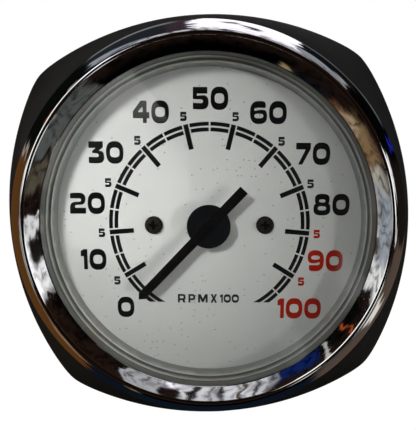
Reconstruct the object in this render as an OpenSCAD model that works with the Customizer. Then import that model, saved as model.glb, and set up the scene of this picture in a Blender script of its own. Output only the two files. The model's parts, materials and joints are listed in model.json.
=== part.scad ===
// Motorcycle tachometer with a magnetic drag-cup movement, in millimetres.
// Parts are drawn in the dial's frame: x right, y up, z towards the rider, dial face at z = 0.
// placed() then stands the dial upright, facing -Y, with the origin on the dial's axis at the
// rear face of the housing, midway between the two mounting studs.

/* [Bezel and lens] */
// Radius of the chromed bezel at its widest
bezel_r = 44.2; // [44:0.1:44.3]
// Height of the bezel's crest above the dial face
bezel_front = 9.4; // [9.4:0.1:9.6]
// Radius of the round window in the bezel
window_r = 37.1; // [36.8:0.1:37.4]
// Height of the lens's front face above the dial face
lens_front = 7.2; // [7.1:0.1:7.3]
// Thickness of the glass lens
lens_t = 1.6; // [1.4:0.1:1.8]

/* [Can and housing] */
// Outer radius of the pressed steel can
can_r = 40; // [39.8:0.1:40.1]
// Thickness of the sheet steel
sheet_t = 0.8; // [0.7:0.1:0.9]
// Distance from the dial face back to the rear face of the housing
case_depth = 48; // [47:0.5:52]
// Half of the housing's width across its bowed sides
pod_half = 46.2; // [45.8:0.1:46.6]
// Distance from the dial's axis to a corner of the housing's front rim
pod_corner = 50.3; // [49.8:0.1:50.6]
// Radius of each bowed side
pod_side_r = 66.5; // [65:0.5:70]
// Turn of the housing against the dial, anticlockwise as the rider sees it
pod_turn = 3.4; // [0:0.1:5]
// Draft angle of the moulded sides
pod_draft = 2.5; // [1:0.5:3]
// Wall thickness of the moulded housing
pod_wall = 2.4; // [2:0.1:2.6]
// Height of the housing's front rim above the dial face
pod_rim = 3; // [2.8:0.1:4]

/* [Dial and pointer] */
// Radius of the dial plate
dial_r = 37.8; // [37.4:0.1:38.2]
// Thickness of the dial plate
dial_t = 0.8; // [0.6:0.1:1]
// Distance of each dial screw from the dial's axis
screw_offset = 13.2; // [12.8:0.1:13.5]
// Length of the pointer from the axis to its tip
pointer_tip = 23.4; // [21:0.1:24]
// Length of the pointer's tail from the axis
pointer_tail = 11.5; // [9:0.1:12]
// Width of the pointer arm
pointer_w = 2.3; // [1.8:0.1:2.6]
// Radius of the disc at the pointer's centre
hub_r = 5; // [4.5:0.1:5.5]
// Direction of the pointer on its zero stop, anticlockwise from three o'clock
pointer_rest = 226; // [225:0.5:230]
// Angle that the pointer turns from its zero stop to its far stop
sweep = 278; // [272:1:284]

/* [Movement] */
// Depth of the front bridge's upper face below the dial face
bridge_depth = 12; // [12:0.5:13]
// Outer radius of the ring magnet
magnet_r = 11; // [10.5:0.1:11.2]
// Radial air gap on each side of the drag cup's wall
air_gap = 0.8; // [0.7:0.05:0.9]
// Radius of the cable-driven shaft
shaft_r = 3; // [2.9:0.05:3.1]
// Radius of the pointer spindle
spindle_r = 0.75; // [0.7:0.05:0.8]
// Number of turns in the hairspring
spring_turns = 6; // [4:1:7]

/* [Mounting] */
// Distance between the two mounting studs
stud_spacing = 48; // [48:0.5:50]
// Radius of each stud's plain shank
stud_r = 3; // [2.9:0.1:3.1]
// Length of plain shank behind the rear face
stud_shank = 7; // [5:0.5:10]
// Outer radius of the cable nipple
nipple_r = 6; // [5.8:0.1:6.2]
// Length of the nipple behind the rear face
nipple_len = 12; // [11:0.5:14]

/* [Hidden] */
$fn = 96;
eps = 0.01;

// Levels along the dial's axis
lens_back = lens_front - lens_t;
flange_top = 2.4;
flange_low = flange_top - sheet_t;
skirt_low = flange_low - sheet_t;
recess_floor = 0;
back_z = -case_depth;
pod_back_t = 3;
can_back = back_z + pod_back_t;
can_floor = can_back + sheet_t;
base_t = 4;
base_top = can_floor + base_t;
bridge_top = -bridge_depth;
bridge_t = 2;
bridge_low = bridge_top - bridge_t;

// Pointer and the parts on its spindle
hub_low = 3.4;
hub_top = 4.4;
arm_low = 3.7;
arm_edge = 4.35;
arm_ridge = 4.95;
tip_cut = 1.1;
bush_r = 1.6;
bush_low = 0.6;
pivot_r = 0.45;
run_fit = 0.05;
stop_low = bridge_top + 5.8;
stop_t = 1.2;
stop_reach = 8.6;
stop_w = 1.2;
stop_pin_r = 0.6;
stop_pin_at = 8;
stop_rest = 90;
stop_contact = asin((stop_w / 2 + stop_pin_r) / stop_pin_at) + 0.2;

// Hairspring, from the collet out to its stud
spring_low = bridge_top + 2.8;
spring_h = 0.6;
spring_t = 0.22;
spring_in = 1.75;
spring_out = 6.8;
spring_steps = 24;
anchor_angle = 270;
anchor_r = 0.6;
collet_r = 1.6;

// Magnetic drive
field_t = 1.2;
field_top = bridge_low;
field_low = field_top - field_t;
cup_t = 0.4;
cup_in = magnet_r + air_gap;
cup_out = cup_in + cup_t;
field_in = cup_out + air_gap;
field_out = field_in + field_t;
cup_top = field_low - 1;
cup_floor_t = 0.6;
cup_depth = 11.8;
boss_r = 2;
hub_end = field_low - 2.6;
comp_t = 0.6;
magnet_top = hub_end - 0.2 - comp_t;
magnet_h = 8.6;
magnet_low = magnet_top - magnet_h;
carrier_t = 2;
carrier_r = magnet_r - 0.5;
magnet_bore = 5;
bush_top = base_top + 1.2;
bush_len = 11;
washer_t = 0.6;
collar_low = bush_top + washer_t + 0.1;
collar_t = 1;
shaft_end = bush_top - bush_len - 3;
clip_t = 0.6;
clip_z = bush_top - bush_len - 0.3 - clip_t;
square_w = 2.65;
square_depth = 10;

// Frame of the movement
base_r = 19.2;
pillar_at = 17;
pillar_r = 2.2;
pillar_angles = [30, 150, 270];
base_screw_at = 11;
base_screw_angles = [90, 210, 330];
post_r = 2.6;
spigot_r = 1.5;
boss_bore_r = 3.2;
bearing_r = 2.5;

// Studs, nipple and lamp
stud_neck = 2.5;
stud_collar = 5;
stud_collar_t = 1.5;
stud_thread = 2.45;
stud_thread_len = 7;
nipple_neck = 5.5;
nipple_flange = 7.8;
bush_seat = 4.5;
nipple_mouth = 4.8;
lamp_at = 25;
lamp_r = 5.5;
lamp_flange = 6.8;
sleeve_r = 4.3;
bulb_r = 4.6;
tail_len = 4;
blade_w = 4;
blade_t = 0.8;
blade_len = 6;

// Points along an arc about (cx, cy)
function arc(cx, cy, r, from, to, n = 8) =
    [for (i = [0:n]) let (a = from + (to - from) * i / n) [cx + r * cos(a), cy + r * sin(a)]];

module placed() translate([0, -case_depth, 0]) rotate([90, 0, 0]) children();
module rod(r, low, top) translate([0, 0, low]) cylinder(r = r, h = top - low);
module ring(r_in, r_out, low, top) {
    difference() {
        rod(r_out, low, top);
        rod(r_in, low - 1, top + 1);
    }
}
module turned(points) rotate_extrude() polygon(points);
module polar(r, angle) rotate([0, 0, angle]) translate([r, 0, 0]) children();
module on_sides(x) for (s = [-1, 1]) translate([s * x, 0, 0]) children();

// Pan head with a cross recess, its seat at z = 0
module cross_head(r, h, recess = 0.7) {
    edge = h * 0.45;
    difference() {
        turned(concat([[0, 0], [r, 0], [r, edge]],
            arc(0, edge, r, 8, 90, 8) * [[1, 0], [0, (h - edge) / r]]
            + [for (i = [0:8]) [0, edge * (1 - (h - edge) / r)]]));
        for (a = [0, 90]) rotate([0, 0, a]) translate([-r * 0.55, -r * 0.13, h - recess])
            cube([r * 1.1, r * 0.26, recess + 1]);
    }
}

// One block bounded by the four bowed and drafted sides, each moved in by inset
module four_sides(inset) {
    intersection_for(k = [0:3]) rotate([0, 0, 90 * k + pod_turn])
        translate([pod_half - pod_side_r, 0, pod_rim]) rotate([0, pod_draft, 0])
            cylinder(r = pod_side_r - inset, h = 4 * case_depth, center = true);
}

// Round trim that cuts the corners and rounds the rear edge, moved in by inset
module round_trim(inset, low, top) {
    corner_back = pod_corner - 1.2 * (case_depth + pod_rim) * tan(pod_draft);
    rear_round = 9;
    rear_c = [corner_back - rear_round, back_z + rear_round];
    lift = (top - back_z) / (pod_rim - back_z);
    intersection() {
        turned(concat([[0, back_z + inset]],
            arc(rear_c[0], rear_c[1], rear_round - inset, -90, 0, 10),
            [[corner_back + (pod_corner - corner_back) * lift - inset, top], [0, top]]));
        rod(2 * pod_corner, low, top);
    }
}

module pod() {
    color("#17160f") placed() difference() {
        intersection() {
            four_sides(0);
            round_trim(0, back_z, pod_rim);
        }
        intersection() {
            four_sides(pod_wall);
            round_trim(pod_wall, can_back, recess_floor - pod_wall);
        }
        rod(bezel_r + 0.3, recess_floor, pod_rim + 1);
        rod(can_r + 0.4, recess_floor - pod_wall - 1, recess_floor + 1);
        rod(nipple_flange + 0.4, back_z - 1, can_back + 1);
        on_sides(stud_spacing / 2) {
            rod(stud_neck + 0.3, back_z - 1, can_back + 1);
            rod(stud_collar + 0.3, back_z - 1, back_z + stud_collar_t);
        }
        for (a = base_screw_angles) polar(base_screw_at, a) rod(3, back_z - 1, can_back + 1);
        translate([0, lamp_at, 0]) rod(lamp_flange + 0.5, back_z - 1, can_back + 1);
    }
}

// Rubber ring that seats the bezel's rolled edge in the housing
module pod_gasket() color("#101010") placed() ring(can_r + 1, bezel_r - 0.1, recess_floor, skirt_low);

module case_can() {
    corner = 3;
    side = can_r - corner;
    color("#b9bcb8") placed() difference() {
        turned(concat([[0, can_back]],
            arc(side, can_back + corner, corner, -90, 0),
            [[can_r, flange_low], [can_r + 2.4, flange_low], [can_r + 2.4, flange_top],
             [can_r - sheet_t, flange_top]],
            arc(side, can_back + corner, corner - sheet_t, 0, -90),
            [[0, can_floor]]));
        rod(nipple_neck + 0.1, can_back - 1, can_floor + 1);
        on_sides(stud_spacing / 2) rod(stud_neck + 0.1, can_back - 1, can_floor + 1);
        for (a = base_screw_angles) polar(base_screw_at, a) rod(1.6, can_back - 1, can_floor + 1);
        translate([0, lamp_at, 0]) rod(lamp_r + 0.05, can_back - 1, can_floor + 1);
    }
}

// Rolled sheet ring: skirt, round back up to a narrow crest, then a slope down to the lens
module bezel() {
    back_r = 5;
    crest_r = 1.15;
    meet = 74;
    slope = 36;
    hem = 0.7;
    lip_r = can_r + 1;
    crest = [bezel_r - back_r + (back_r - crest_r) * cos(meet), bezel_front - crest_r];
    back = [bezel_r - back_r, crest[1] - (back_r - crest_r) * sin(meet)];
    color("#d8d8da") placed() turned(concat(
        [[lip_r, skirt_low]],
        arc(bezel_r - hem, skirt_low + hem, hem, -90, 0, 4),
        arc(back[0], back[1], back_r, 0, meet, 20),
        arc(crest[0], crest[1], crest_r, meet + 2, 90 + slope, 6),
        [[window_r + 0.15, lens_front + 0.27], [window_r, lens_front + 0.13], [window_r, lens_front],
         [window_r + 0.8, lens_front], [window_r + 1.5, lens_front + 0.4]],
        arc(back[0], back[1], back_r - sheet_t, 84, 0, 14),
        [[bezel_r - sheet_t, flange_low], [lip_r, flange_low]]));
}

module lens() {
    r = can_r + 0.6;
    color("#dfe6e4", 0.3) placed()
        turned([[0, lens_back], [r, lens_back], [r, lens_front - 0.2],
            [r - 0.2, lens_front], [0, lens_front]]);
}

// Rubber ring under and around the lens's edge, standing on the can's flange
module lens_gasket() {
    color("#1a1a1a") placed() turned([
        [can_r - 0.7, flange_top], [bezel_r - 1.1, flange_top], [bezel_r - 1.1, lens_back],
        [bezel_r - 2.2, lens_front - 0.1], [can_r + 0.7, lens_front - 0.1], [can_r + 0.7, lens_back],
        [can_r - 0.7, lens_back]]);
}

// Translucent ring between dial and lens, with one small shelf half way up
module inner_ring() {
    foot_r = 36.2;
    shelf_z = 3.5;
    color("#9a9f9b") placed() turned([
        [foot_r, 0], [foot_r + 0.1, shelf_z], [foot_r + 0.7, shelf_z], [foot_r + 1.5, lens_back],
        [can_r - 1.1, lens_back], [can_r - 1.1, 0]]);
}

module dial_plate() {
    color("#d9dcd7") placed() difference() {
        rod(dial_r, -dial_t, 0);
        rod(3, -dial_t - 1, 1);
        on_sides(screw_offset) rod(1.1, -dial_t - 1, 1);
    }
}

module dial_screws() {
    color("#1c1b19") placed() on_sides(screw_offset) {
        cross_head(2.1, 1.4);
        rod(0.95, -5, eps);
    }
}

// Moulded arm with a roof-shaped back, cut to a chisel tip, and the disc at its centre
module pointer() {
    half = pointer_w / 2;
    color("#0d0f12") placed() {
        rotate([0, 0, pointer_rest]) intersection() {
            rotate([90, 0, 90]) translate([0, 0, -pointer_tail])
                linear_extrude(pointer_tip + pointer_tail)
                    polygon([[-half, arm_low], [half, arm_low], [half, arm_edge],
                        [0, arm_ridge], [-half, arm_edge]]);
            linear_extrude(2 * arm_ridge) polygon([
                [-pointer_tail, -0.9 * half], [0, -half], [pointer_tip - tip_cut, -0.9 * half],
                [pointer_tip, 0], [pointer_tip - tip_cut, 0.9 * half], [0, half],
                [-pointer_tail, 0.9 * half]]);
        }
        turned([[0, hub_low], [hub_r, hub_low], [hub_r, hub_top - 0.15],
            [hub_r - 0.15, hub_top], [0, hub_top]]);
    }
}

module pointer_bush() color("#b08d3c") placed() ring(spindle_r, bush_r, bush_low, hub_low);

module pointer_spindle() {
    color("#c4c6c8") placed() {
        rod(spindle_r, hub_end + 0.2, hub_low - 0.1);
        rod(pivot_r, hub_end - 1.9, hub_end + 0.3);
    }
}

// Arm on the spindle that meets the two stop pins
module stop_arm() {
    color("#c4a24a") placed() difference() {
        union() {
            rod(1.8, stop_low, stop_low + stop_t);
            rotate([0, 0, stop_rest]) translate([0, -stop_w / 2, stop_low])
                cube([stop_reach, stop_w, stop_t]);
        }
        rod(spindle_r, stop_low - 1, stop_low + stop_t + 1);
    }
}

module stop_pins() {
    color("#c4c6c8") placed()
        for (a = [stop_rest + stop_contact, stop_rest - sweep - stop_contact])
            polar(stop_pin_at, a) rod(stop_pin_r, bridge_top, stop_low + stop_t + 0.4);
}

// Flat spiral ribbon, wound from the collet out to its stud
module hairspring() {
    count = spring_turns * spring_steps;
    inner = [for (i = [0:count]) let (
        r = spring_in + (spring_out - spring_in) * i / count - spring_t / 2,
        a = anchor_angle - 360 * spring_turns + i * 360 / spring_steps) [r * cos(a), r * sin(a)]];
    outer = [for (i = [count:-1:0]) let (
        r = spring_in + (spring_out - spring_in) * i / count + spring_t / 2,
        a = anchor_angle - 360 * spring_turns + i * 360 / spring_steps) [r * cos(a), r * sin(a)]];
    color("#5a5f78") placed() translate([0, 0, spring_low])
        linear_extrude(spring_h) polygon(concat(inner, outer));
}

module hairspring_collet() {
    color("#b08d3c") placed() ring(spindle_r, collet_r, spring_low - 0.5, spring_low + spring_h + 0.6);
}

// Split pin that grips the spring's outer end
module hairspring_stud() {
    gap = spring_t / 2 + 0.04;
    color("#b08d3c") placed() difference() {
        polar(spring_out, anchor_angle)
            rod(anchor_r, bridge_top + run_fit + 0.8, spring_low + spring_h + 0.4);
        ring(spring_out - gap, spring_out + gap, spring_low, spring_low + spring_h + 1);
    }
}

// Lever that carries the hairspring's outer end and sets the pointer's zero
module regulator_arm() {
    low = bridge_top + run_fit;
    thick = 0.8;
    color("#b08d3c") placed() difference() {
        union() {
            rod(5.2, low, low + thick);
            rotate([0, 0, anchor_angle]) translate([0, -1, low]) cube([9, 2, thick]);
            polar(9, anchor_angle) rod(1.4, low, low + thick);
        }
        rod(boss_bore_r + run_fit, low - 1, low + thick + 1);
    }
}

module front_bridge() {
    color("#c9b26a") placed() difference() {
        rod(base_r + 0.3, bridge_low, bridge_top);
        rod(bearing_r, bridge_low - 1, bridge_top + 1);
        on_sides(screw_offset) rod(spigot_r, bridge_low - 1, bridge_top + 1);
        for (a = pillar_angles) polar(pillar_at, a) rod(1.1, bridge_low - 1, bridge_top + 1);
    }
}

// Flanged bush in the bridge: bearing for the spindle and pivot for the regulator
module front_bearing() {
    lip = bridge_top + 2 * run_fit + 0.8;
    color("#a9772f") placed() difference() {
        union() {
            rod(bearing_r, field_low, bridge_top + eps);
            rod(boss_bore_r, bridge_top, lip);
            rod(boss_bore_r + 0.6, lip, lip + 0.6);
        }
        rod(spindle_r + run_fit, field_low - 1, lip + 2);
    }
}

module dial_posts() {
    color("#c9b26a") placed() on_sides(screw_offset) difference() {
        union() {
            rod(post_r, bridge_top, -dial_t);
            rod(spigot_r, bridge_low, bridge_top + eps);
        }
        rod(1, -dial_t - 6, 0);
    }
}

module bridge_pillars() {
    color("#c9b26a") placed() for (a = pillar_angles) polar(pillar_at, a) difference() {
        union() {
            rod(pillar_r, base_top, bridge_low);
            rod(spigot_r, base_top - 2.2, base_top + eps);
        }
        rod(1, bridge_low - 6, bridge_low + 1);
    }
}

module bridge_screws() {
    color("#c4c6c8") placed() for (a = pillar_angles) polar(pillar_at, a)
        translate([0, 0, bridge_top]) {
            cross_head(2, 1.2, 0.5);
            rod(0.95, -6, eps);
        }
}

// Fixed steel cup that closes the magnetic path around the drag cup
module field_cup() {
    color("#8f9499") placed() difference() {
        rod(field_out, cup_top - cup_depth, field_top);
        rod(field_in, cup_top - cup_depth - 1, field_low);
        rod(bearing_r, field_low - 1, field_top + 1);
    }
}

module drag_cup() {
    color("#cfd2d4") placed() difference() {
        rod(cup_out, cup_top - cup_depth, cup_top);
        rod(cup_in, cup_top - cup_depth - 1, cup_top - cup_floor_t);
        rod(boss_r, cup_top - 2, cup_top + 1);
    }
}

module cup_boss() color("#b08d3c") placed() ring(spindle_r, boss_r, cup_top - 1, cup_top + 0.6);

module magnet() color("#4a4c50") placed() ring(magnet_bore, magnet_r, magnet_low, magnet_top);

module compensator_ring() {
    color("#a7a9ab") placed() ring(magnet_bore, carrier_r, magnet_top, magnet_top + comp_t);
}

// Cable-driven shaft with its thrust collar, magnet carrier and the hub inside the magnet
module drive_shaft() {
    square = square_w / 2;
    color("#b5b8ba") placed() difference() {
        union() {
            rod(shaft_r, shaft_end, magnet_low);
            rod(shaft_r + 1.8, collar_low, collar_low + collar_t);
            rod(carrier_r, magnet_low - carrier_t, magnet_low);
            rod(magnet_bore, magnet_low - eps, hub_end);
        }
        rod(1.6, hub_end - 3, hub_end + 1);
        translate([-square, -square, shaft_end - 1]) cube([square_w, square_w, square_depth + 1]);
        ring(shaft_r - 0.5, shaft_r + 1, clip_z, clip_z + clip_t);
    }
}

module pivot_bearing() color("#8c2f4a") placed() ring(pivot_r + run_fit, 1.6, hub_end - 3, hub_end);

module shaft_clip() {
    color("#33363a") placed() difference() {
        ring(shaft_r - 0.5, shaft_r + 1.2, clip_z, clip_z + clip_t);
        translate([0, -1.2, clip_z - 1]) cube([shaft_r + 2, 2.4, clip_t + 2]);
    }
}

module thrust_washer() {
    color("#6d4b22") placed() ring(shaft_r + 0.1, shaft_r + 2, bush_top, bush_top + washer_t);
}

module oil_felt() color("#cbbf9e") placed() ring(bush_seat, bush_seat + 3, base_top, bush_top - 0.2);

module drive_bush() {
    color("#a9772f") placed() ring(shaft_r + 0.04, bush_seat, bush_top - bush_len, bush_top);
}

module movement_base() {
    color("#a8aaab") placed() difference() {
        rod(base_r, can_floor, base_top);
        rod(nipple_neck, can_floor - 1, base_top + 1);
        for (a = pillar_angles) polar(pillar_at, a) rod(spigot_r, base_top - 2.2, base_top + 1);
        for (a = base_screw_angles) polar(base_screw_at, a) rod(1.25, can_floor - 1, can_floor + 3.2);
    }
}

module base_screws() {
    color("#9b9d9f") placed() for (a = base_screw_angles) polar(base_screw_at, a)
        translate([0, 0, can_back]) rotate([180, 0, 0]) {
            cross_head(2.7, 1.8, 0.9);
            rod(1.2, -3.8, eps);
        }
}

module cable_nipple() {
    flange_t = 1.5;
    end = back_z - nipple_len;
    color("#b7b9b6") placed() turned([
        [bush_seat, base_top], [nipple_neck, base_top], [nipple_neck, can_back],
        [nipple_flange, can_back], [nipple_flange, can_back - flange_t], [nipple_r, can_back - flange_t],
        [nipple_r, end + 0.6], [nipple_r - 0.6, end], [nipple_mouth, end],
        [nipple_mouth, bush_top - bush_len], [bush_seat, bush_top - bush_len]]);
}

// Nuts clinched into the can's floor, which the studs screw into
module clinch_nuts() {
    color("#c4c6c8") placed() on_sides(stud_spacing / 2)
        ring(stud_neck, stud_neck + 2, can_floor, can_floor + 3);
}

// Shouldered studs: the sunk collar clamps housing and can, then plain shank and threaded end
module mounting_studs() {
    shoulder = back_z - stud_shank;
    tip = shoulder - stud_thread_len;
    color("#b7b9b6") placed() on_sides(stud_spacing / 2) turned([
        [0, can_floor + 2.6], [stud_neck, can_floor + 2.6], [stud_neck, back_z + stud_collar_t],
        [stud_collar, back_z + stud_collar_t], [stud_collar, back_z], [stud_r, back_z],
        [stud_r, shoulder], [stud_thread, shoulder], [stud_thread, tip + 0.5],
        [stud_thread - 0.5, tip], [0, tip]]);
}

module stud_washers() {
    color("#c4c6c8") placed() on_sides(stud_spacing / 2)
        ring(stud_thread + 0.2, 5.2, back_z - stud_shank - 1, back_z - stud_shank);
}

module stud_nuts() {
    top = back_z - stud_shank - 1;
    across = 8;
    color("#c4c6c8") placed() on_sides(stud_spacing / 2) difference() {
        intersection() {
            translate([0, 0, top - 4]) cylinder(r = across / sqrt(3), h = 4, $fn = 6);
            turned([[0, top], [across * 0.53, top], [across * 0.585, top - 0.5],
                [across * 0.585, top - 3.5], [across * 0.53, top - 4], [0, top - 4]]);
        }
        rod(stud_thread + eps, top - 5, top + 1);
    }
}

module at_lamp() translate([0, lamp_at, 0]) children();

// Push-in holder: body through the can, flange behind it and a short tail
module lamp_holder() {
    flange_t = 1.5;
    tail = back_z - tail_len;
    color("#1b1b1d") placed() at_lamp() difference() {
        union() {
            rod(lamp_r, can_back, base_top);
            rod(lamp_flange, can_back - flange_t, can_back + eps);
            rod(lamp_r - 0.4, tail, can_back);
        }
        rod(sleeve_r, tail + 2, base_top + 1);
        on_sides(2.2) translate([-blade_t / 2, -blade_w / 2, tail - 1]) cube([blade_t, blade_w, 4]);
    }
}

module lamp_sleeve() {
    color("#c9b26a") placed() at_lamp()
        ring(sleeve_r - 0.35, sleeve_r, back_z - tail_len + 3, base_top - 0.5);
}

module lamp_cap() {
    color("#c4c6c8") placed() at_lamp() {
        rod(sleeve_r - 0.4, can_back - 1, base_top + 1);
        rod(1.5, can_back - 2, can_back - 1 + eps);
    }
}

module lamp_bulb() {
    neck = base_top + 1;
    color("#e8ecec", 0.4) placed() at_lamp() turned(concat(
        [[0, neck], [2.6, neck], [2.8, neck + 1]],
        arc(0, neck + 4.6, bulb_r, -50, 90, 12)));
}

module lamp_terminals() {
    tail = back_z - tail_len;
    color("#c9b26a") placed() at_lamp() on_sides(2.2)
        translate([-blade_t / 2, -blade_w / 2, tail - blade_len]) cube([blade_t, blade_w, blade_len + 2]);
}

pod();
pod_gasket();
case_can();
bezel();
lens();
lens_gasket();
inner_ring();
dial_plate();
dial_screws();
pointer();
pointer_bush();
pointer_spindle();
stop_arm();
stop_pins();
hairspring();
hairspring_collet();
hairspring_stud();
regulator_arm();
front_bridge();
front_bearing();
dial_posts();
bridge_pillars();
bridge_screws();
field_cup();
drag_cup();
cup_boss();
magnet();
compensator_ring();
drive_shaft();
pivot_bearing();
shaft_clip();
thrust_washer();
oil_felt();
drive_bush();
movement_base();
base_screws();
cable_nipple();
clinch_nuts();
mounting_studs();
stud_washers();
stud_nuts();
lamp_holder();
lamp_sleeve();
lamp_cap();
lamp_bulb();
lamp_terminals();
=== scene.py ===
import json
import math

import bpy
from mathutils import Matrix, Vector


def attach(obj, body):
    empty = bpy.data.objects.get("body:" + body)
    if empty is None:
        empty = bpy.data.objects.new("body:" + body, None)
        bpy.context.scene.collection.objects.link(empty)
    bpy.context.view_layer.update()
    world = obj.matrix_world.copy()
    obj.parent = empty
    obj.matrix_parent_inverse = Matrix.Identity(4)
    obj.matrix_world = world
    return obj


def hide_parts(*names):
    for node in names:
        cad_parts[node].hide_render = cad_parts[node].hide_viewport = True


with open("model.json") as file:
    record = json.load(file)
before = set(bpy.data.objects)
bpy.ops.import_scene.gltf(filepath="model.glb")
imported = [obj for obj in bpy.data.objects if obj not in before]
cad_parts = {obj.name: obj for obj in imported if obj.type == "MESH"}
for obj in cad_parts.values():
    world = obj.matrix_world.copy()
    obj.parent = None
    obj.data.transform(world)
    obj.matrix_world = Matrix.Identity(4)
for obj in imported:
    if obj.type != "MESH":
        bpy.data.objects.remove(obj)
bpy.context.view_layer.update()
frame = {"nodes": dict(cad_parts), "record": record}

MM = 0.001
DIAL_Y = -48

# Camera: stands 90 mm in front of the dial, a little above it and to its right, looking slightly down.
# Its two shifts set the dial in the frame as the photograph does.
FOCAL_PX = 376.6
FRAME_PX = 430
camera_data = bpy.data.cameras.new("camera")
camera_data.sensor_width = 36
camera_data.lens = FOCAL_PX / FRAME_PX * camera_data.sensor_width
camera_data.shift_x = -15.4 / FRAME_PX
camera_data.shift_y = 19.9 / FRAME_PX
camera_data.clip_start = 0.01
camera = bpy.data.objects.new("camera", camera_data)
camera.location = (0.0034, -0.1379, 0.0089)
camera.rotation_euler = (math.radians(90 - 7.2), 0, math.radians(0.05))
bpy.context.scene.collection.objects.link(camera)
bpy.context.scene.camera = camera


# Places, in the dial's own millimetres: x right, y up, z towards the rider from the dial's face
def spot(x, y, z):
    return Vector((x * MM, (DIAL_Y - z) * MM, y * MM))


def at_angle(r, angle):
    return (r * math.cos(angle), r * math.sin(angle))


def arc(cx, cy, r, start, end, steps=8):
    turns = [math.radians(start + (end - start) * i / steps) for i in range(steps + 1)]
    return [(cx + r * math.cos(t), cy + r * math.sin(t)) for t in turns]


# Modelling helpers
def deselect():
    bpy.ops.object.select_all(action="DESELECT")


def start_edit(piece):
    deselect()
    piece.select_set(True)
    bpy.context.view_layer.objects.active = piece
    bpy.ops.object.mode_set(mode="EDIT")
    bpy.ops.mesh.select_all(action="SELECT")


def end_edit():
    bpy.ops.object.mode_set(mode="OBJECT")


def settle(piece):
    """Piece's place goes into its mesh."""
    deselect()
    piece.select_set(True)
    bpy.context.view_layer.objects.active = piece
    bpy.ops.object.transform_apply(location=True, rotation=True, scale=True)


def close_up(piece):
    """Doubles merged, open ends filled, faces turned outwards."""
    start_edit(piece)
    bpy.ops.mesh.remove_doubles(threshold=1e-7)
    bpy.ops.mesh.select_all(action="SELECT")
    bpy.ops.mesh.fill_holes(sides=0)
    bpy.ops.mesh.select_all(action="SELECT")
    bpy.ops.mesh.normals_make_consistent(inside=False)
    end_edit()


def smooth(piece, angle=32):
    deselect()
    piece.select_set(True)
    bpy.context.view_layer.objects.active = piece
    bpy.ops.object.shade_smooth_by_angle(angle=math.radians(angle))


def modify(piece, kind, **settings):
    deselect()
    piece.select_set(True)
    bpy.context.view_layer.objects.active = piece
    modifier = piece.modifiers.new(kind.lower(), kind)
    for key, value in settings.items():
        setattr(modifier, key, value)
    bpy.ops.object.modifier_apply(modifier=modifier.name)


def round_edges(piece, width, segments=3, angle=30):
    modify(piece, "BEVEL", width=width * MM, segments=segments, limit_method="ANGLE",
           angle_limit=math.radians(angle), harden_normals=False)


def cut(piece, tool, operation="DIFFERENCE"):
    modify(piece, "BOOLEAN", object=tool, operation=operation, solver="EXACT")
    bpy.data.objects.remove(tool)


def join(pieces):
    deselect()
    for piece in pieces:
        piece.select_set(True)
    bpy.context.view_layer.objects.active = pieces[0]
    bpy.ops.object.join()
    return pieces[0]


def turned(name, points, steps=128, at=(0, 0)):
    """Piece turned about an axis square to the dial: a circle extruded along its half section (r, z)."""
    x, y = at
    r, z = points[0]
    deselect()
    bpy.ops.mesh.primitive_circle_add(vertices=steps, radius=r * MM, location=spot(x, y, z),
                                      rotation=(math.pi / 2, 0, 0))
    piece = bpy.context.object
    piece.name = name
    settle(piece)
    start_edit(piece)
    for (r1, z1), (r2, z2) in zip(points, points[1:]):
        bpy.ops.mesh.extrude_region_move(TRANSFORM_OT_translate={"value": (0, (z1 - z2) * MM, 0)})
        bpy.ops.transform.resize(value=(r2 / r1, 1, r2 / r1), center_override=spot(x, y, z2))
    end_edit()
    close_up(piece)
    return piece


def block(name, size, at):
    """Block of a size (x, y, z) about a point, all in the dial's millimetres."""
    deselect()
    bpy.ops.mesh.primitive_cube_add(size=1, location=spot(*at))
    piece = bpy.context.object
    piece.name = name
    piece.scale = (size[0] * MM, size[2] * MM, size[1] * MM)
    settle(piece)
    return piece


def copy_to(piece, name, dx, dy):
    twin = piece.copy()
    twin.data = piece.data.copy()
    twin.name = name
    bpy.context.scene.collection.objects.link(twin)
    twin.location = (dx * MM, 0, dy * MM)
    settle(twin)
    return twin


def threaded(piece, crest, depth, pitch, low, high, at=(0, 0)):
    """Moves the rings of a turned piece in to a thread that runs out at both ends."""
    for vertex in piece.data.vertices:
        x = vertex.co.x / MM - at[0]
        y = vertex.co.z / MM - at[1]
        z = DIAL_Y - vertex.co.y / MM
        r = math.hypot(x, y)
        if abs(r - crest) > 0.01 or not low <= z <= high:
            continue
        phase = (z / pitch + math.atan2(y, x) / (2 * math.pi)) % 1
        fade = min(1, (z - low) / (0.6 * pitch), (high - z) / (0.6 * pitch))
        k = (crest - depth * fade * abs(1 - 2 * phase)) / r
        vertex.co.x = (at[0] + x * k) * MM
        vertex.co.z = (at[1] + y * k) * MM


# Materials
def shade(hex_colour):
    """sRGB hex value as the linear colour that a socket takes."""
    values = [int(hex_colour[i:i + 2], 16) / 255 for i in (1, 3, 5)]
    return tuple(v / 12.92 if v <= 0.04045 else ((v + 0.055) / 1.055) ** 2.4 for v in values) + (1,)


def grey(value):
    return (value, value, value, 1)


def add(tree, kind, inputs=(), output=None, stops=(), **settings):
    """Node with its settings, its inputs (in turn, or by socket) and its colour stops. Gives the node, or
    one output of it."""
    node = tree.nodes.new("ShaderNode" + kind)
    for key, value in settings.items():
        setattr(node, key, value)
    for key, value in inputs.items() if isinstance(inputs, dict) else enumerate(inputs):
        if isinstance(value, bpy.types.NodeSocket):
            tree.links.new(value, node.inputs[key])
        else:
            node.inputs[key].default_value = value
    if stops:
        elements = node.color_ramp.elements
        while len(elements) < len(stops):
            elements.new(0.5)
        for element, (position, colour) in zip(elements, stops):
            element.position = position
            element.color = colour
    return node if output is None else node.outputs[output]


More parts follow.
